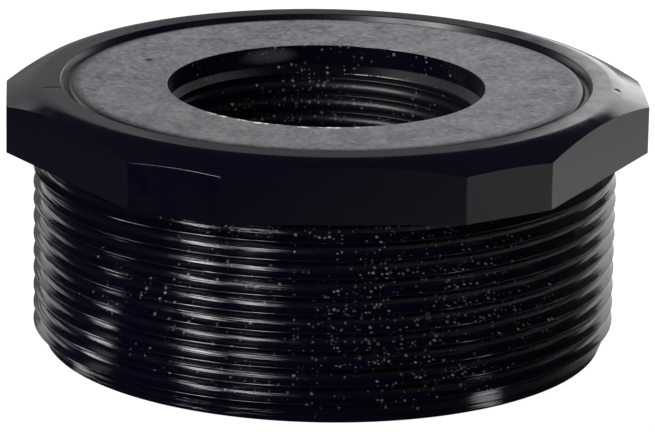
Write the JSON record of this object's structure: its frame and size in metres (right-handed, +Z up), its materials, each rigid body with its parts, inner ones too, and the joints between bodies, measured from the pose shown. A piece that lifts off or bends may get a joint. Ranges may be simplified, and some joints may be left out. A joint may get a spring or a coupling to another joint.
{
  "type": "reducer fitting",
  "caption": "Threaded reducing bush: a male pipe thread below a cropped hexagon head, and a smaller female pipe thread through the middle.",
  "frame": {"origin": "middle of the bottom face, on the axis of both threads", "axes": "+Z up the axis, from the end of the male thread to the head; one wide flat of the head faces -Y, and cropped corners face +X and -X"},
  "size_m": [0.082, 0.0776, 0.0344],
  "materials": {
    "reducer_bush": "black moulded polypropylene, glossy rim, facets and threads, a fine matt texture on the top face"
  },
  "bodies": {
    "root": {"reducer_bush": "reducer_bush"}
  },
  "joints": []
}
